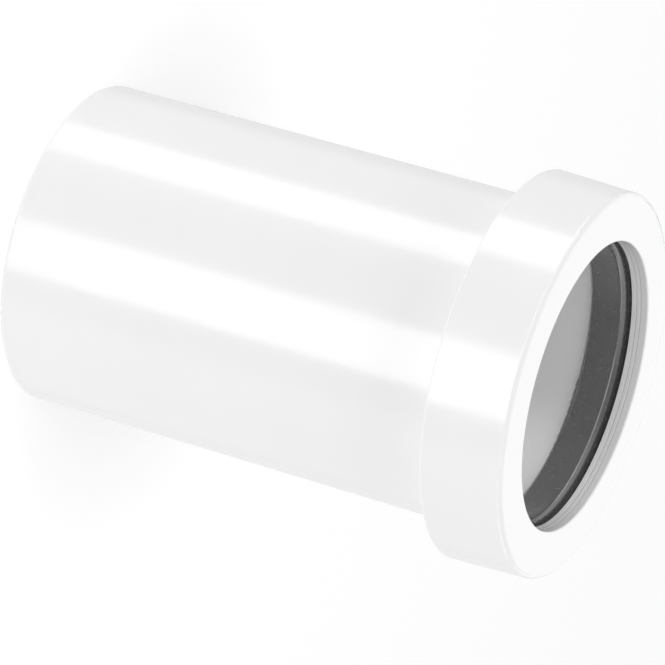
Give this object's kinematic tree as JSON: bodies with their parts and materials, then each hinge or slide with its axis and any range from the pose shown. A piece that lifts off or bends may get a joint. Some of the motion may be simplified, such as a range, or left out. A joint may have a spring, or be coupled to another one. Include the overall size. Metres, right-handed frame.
{
  "type": "straight pipe connector",
  "caption": "Straight push-fit pipe connector: a plain white spigot tube with a thicker collar whose mouth holds a dark rubber sealing ring for a smaller pipe.",
  "frame": {"origin": "centre of the plain end of the tube, on the surface that it stands on", "axes": "+Z along the connector's axis, from the plain end of the tube to the mouth of the collar"},
  "size_m": [0.06, 0.06, 0.0855],
  "materials": {
    "white_plastic": "gloss",
    "dark_rubber": "satin"
  },
  "bodies": {
    "root": {"pipe_body": "white_plastic", "ring_seal": "dark_rubber"}
  },
  "joints": []
}
